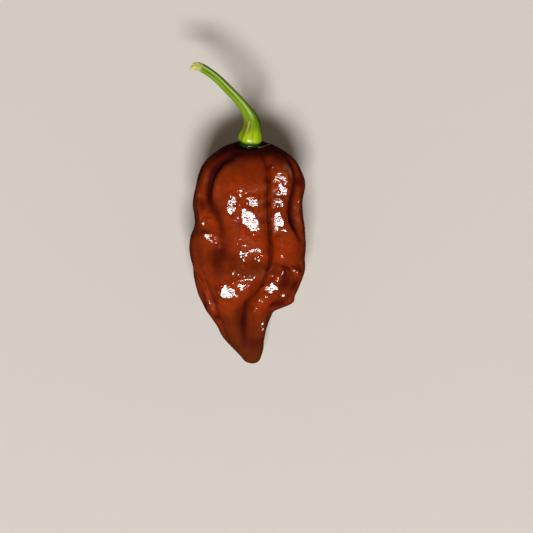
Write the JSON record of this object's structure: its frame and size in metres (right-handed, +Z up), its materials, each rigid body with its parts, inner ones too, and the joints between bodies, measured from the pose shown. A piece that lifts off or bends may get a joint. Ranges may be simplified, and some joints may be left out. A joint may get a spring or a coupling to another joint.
{
  "type": "habanero pepper",
  "caption": "Ripe brown habanero pepper lying on its side: a glossy, folded and lobed pod with a blunt tip, a bulbous green calyx and a curved green stem.",
  "frame": {"origin": "a point near the middle of the small flat spot that the pod rests on, under its weight", "axes": "+Y runs along the pod from its tip towards the stem, +Z is up, +X is to the right with the stem end away from the viewer"},
  "size_m": [0.0326, 0.084, 0.0269],
  "materials": {
    "pod_skin": "waxy gloss over thin red-brown skin; gloss_plastic stands in for plant skin",
    "stem_skin": "satin green plant skin; matte_plastic stands in for plant skin"
  },
  "bodies": {
    "root": {"pod": "pod_skin", "stem": "stem_skin"}
  },
  "joints": []
}
